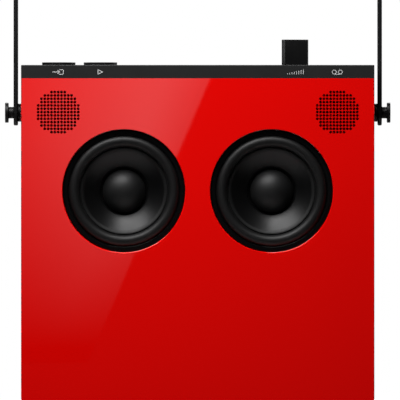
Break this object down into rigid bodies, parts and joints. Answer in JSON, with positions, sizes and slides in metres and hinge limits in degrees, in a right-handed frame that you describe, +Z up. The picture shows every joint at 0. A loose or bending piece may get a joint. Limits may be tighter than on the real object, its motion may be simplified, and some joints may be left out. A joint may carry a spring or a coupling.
{
  "type": "portable stereo speaker",
  "caption": "Slim upright portable stereo speaker with a gloss front, exposed woofers, perforated tweeter grilles, top controls and a swinging flat-bar carrying handle.",
  "frame": {"origin": "centre of the footprint on the table, at the underside of the feet", "axes": "+Z up, the front face looks along -Y, +X to the viewer's right"},
  "size_m": [0.255, 0.058, 0.2825],
  "materials": {
    "red_gloss": "high gloss piano finish",
    "black_shell": "fine spark-eroded texture",
    "top_strip": "satin",
    "key_black": "satin",
    "knob_black": "soft satin",
    "disc_black": "fine turned grooves",
    "handle_black": "satin black coating",
    "screw_black": "satin black, turned",
    "foot_rubber": "matte",
    "roll_rubber": "smooth satin butyl",
    "cone_paper": "coated, fine fibre",
    "cap_paper": "coated, smooth",
    "ring_black": "satin",
    "basket_steel": "black powder coat",
    "plated_steel": "zinc plated",
    "magnet_alloy": "nickel plated",
    "coil_copper": "enamelled copper wire",
    "spider_cloth": "impregnated weave",
    "dome_silk": "coated silk",
    "screen_cloth": "open weave",
    "gasket_foam": "closed-cell foam",
    "brass": "knurled",
    "driver_plastic": "moulded",
    "motor_can": "drawn can",
    "board_green": "solder mask",
    "heat_aluminium": "extruded, clear anodised",
    "cell_wrap": "shrink wrap over steel cans",
    "socket_steel": "stamped",
    "lead_pvc": "PVC insulation"
  },
  "bodies": {
    "cabinet": {"cabinet": "black_shell", "front_panel": "red_gloss", "rear_cover": "black_shell", "rear_seal": "gasket_foam", "rear_cover_screws": "screw_black", "top_panel": "top_strip", "top_panel_screws": "plated_steel", "feet": "foot_rubber", "left_pivot_washer": "screw_black", "right_pivot_washer": "screw_black", "pivot_inserts": "brass", "button_switches": "plated_steel", "volume_motor": "motor_can", "tape_motor": "motor_can", "shaft_bushes": "brass", "motor_screws": "plated_steel", "control_board": "board_green", "control_board_screws": "plated_steel", "left_basket": "basket_steel", "right_basket": "basket_steel", "left_surround": "roll_rubber", "right_surround": "roll_rubber", "left_spider": "spider_cloth", "right_spider": "spider_cloth", "left_yoke": "plated_steel", "right_yoke": "plated_steel", "woofer_magnets": "magnet_alloy", "woofer_trim_rings": "ring_black", "woofer_gaskets": "gasket_foam", "woofer_screws": "screw_black", "left_tweeter": "driver_plastic", "right_tweeter": "driver_plastic", "tweeter_domes": "dome_silk", "tweeter_screens": "screen_cloth", "tweeter_screws": "plated_steel", "battery_cells": "cell_wrap", "battery_bracket": "driver_plastic", "main_board": "board_green", "board_screws": "plated_steel", "heatsink": "heat_aluminium", "usb_socket": "socket_steel", "audio_jack": "driver_plastic", "internal_wiring": "lead_pvc"},
    "handle": {"handle": "handle_black"},
    "left_clamp": {"left_thumbscrew": "screw_black"},
    "right_clamp": {"right_thumbscrew": "screw_black"},
    "input_key": {"input_button": "key_black", "input_plunger": "driver_plastic"},
    "play_key": {"play_button": "key_black", "play_plunger": "driver_plastic"},
    "volume_control": {"volume_knob": "knob_black", "volume_shaft": "plated_steel"},
    "tape_control": {"tape_disc": "disc_black", "tape_shaft": "plated_steel"},
    "left_driver": {"left_cone": "cone_paper", "left_dust_cap": "cap_paper", "left_voice_coil": "coil_copper"},
    "right_driver": {"right_cone": "cone_paper", "right_dust_cap": "cap_paper", "right_voice_coil": "coil_copper"}
  },
  "joints": [
    {"name": "handle_swing", "type": "hinge", "parent": "cabinet", "child": "handle", "pos_m": [0, 0, 0.1953], "axis": [1, 0, 0], "range_deg": [-153, 153]},
    {"name": "left_thumbscrew_turn", "type": "hinge", "parent": "cabinet", "child": "left_clamp", "pos_m": [-0.1219, 0, 0.1953], "axis": [-1, 0, 0], "range_deg": [0, 180]},
    {"name": "right_thumbscrew_turn", "type": "hinge", "parent": "cabinet", "child": "right_clamp", "pos_m": [0.1219, 0, 0.1953], "axis": [1, 0, 0], "range_deg": [0, 180]},
    {"name": "input_press", "type": "slide", "parent": "cabinet", "child": "input_key", "axis": [0, 0, -1], "range_m": [0, 0.0009], "stiffness_N_per_m": 900, "springref_m": -0.0004},
    {"name": "play_press", "type": "slide", "parent": "cabinet", "child": "play_key", "axis": [0, 0, -1], "range_m": [0, 0.0009], "stiffness_N_per_m": 900, "springref_m": -0.0004},
    {"name": "volume_turn", "type": "hinge", "parent": "cabinet", "child": "volume_control", "pos_m": [0.0644, 0, 0.2265], "axis": [0, 0, 1], "range_deg": [-140, 140]},
    {"name": "tape_turn", "type": "hinge", "parent": "cabinet", "child": "tape_control", "pos_m": [0.092, 0, 0.2265], "axis": [0, 0, 1], "continuous": true},
    {"name": "left_cone_travel", "type": "slide", "parent": "cabinet", "child": "left_driver", "axis": [0, 1, 0], "range_m": [-0.002, 0.002], "stiffness_N_per_m": 900, "deforming": ["left_surround", "left_spider"]},
    {"name": "right_cone_travel", "type": "slide", "parent": "cabinet", "child": "right_driver", "axis": [0, 1, 0], "range_m": [-0.002, 0.002], "stiffness_N_per_m": 900, "deforming": ["right_surround", "right_spider"]}
  ]
}
